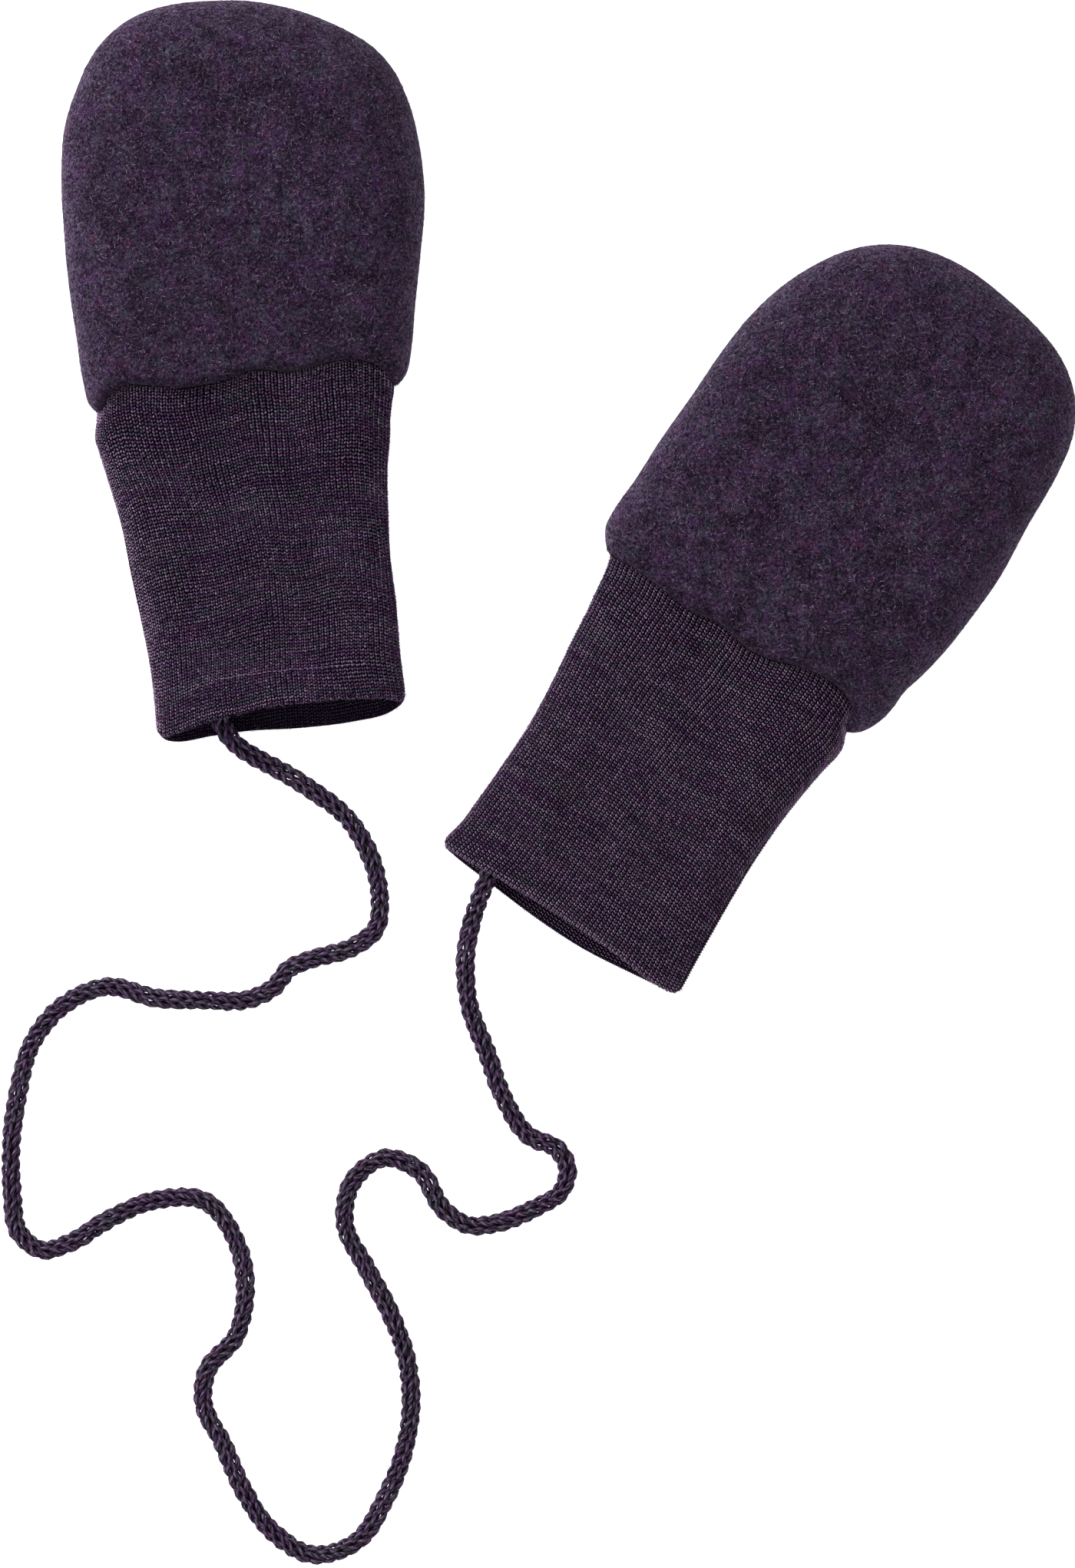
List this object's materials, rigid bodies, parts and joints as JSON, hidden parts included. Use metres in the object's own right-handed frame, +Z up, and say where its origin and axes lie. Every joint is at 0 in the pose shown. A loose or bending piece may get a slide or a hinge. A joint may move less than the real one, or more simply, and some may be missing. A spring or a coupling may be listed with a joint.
{
  "type": "pair of baby mittens",
  "caption": "Pair of thumbless baby mittens lying flat: soft fleece hands on long fine-knit cuffs, joined by one knitted cord.",
  "frame": {"origin": "middle of the two mittens' box, without the cord, on the surface they lie on", "axes": "+Z up from the surface, +Y towards the left mitten's fingertips, +X to the right, as seen from above"},
  "size_m": [0.2378, 0.3459, 0.0166],
  "materials": {
    "fleece": "dark purple melange wool fleece, brushed nap, matt",
    "cuff_knit": "dark purple melange fine stocking stitch, matt",
    "cord_knit": "dark purple melange knitted round cord, matt"
  },
  "bodies": {
    "root": {"left_hand_front": "fleece", "left_hand_back": "fleece", "left_cuff": "cuff_knit", "right_hand_front": "fleece", "right_hand_back": "fleece", "right_cuff": "cuff_knit", "cord": "cord_knit"}
  },
  "joints": []
}
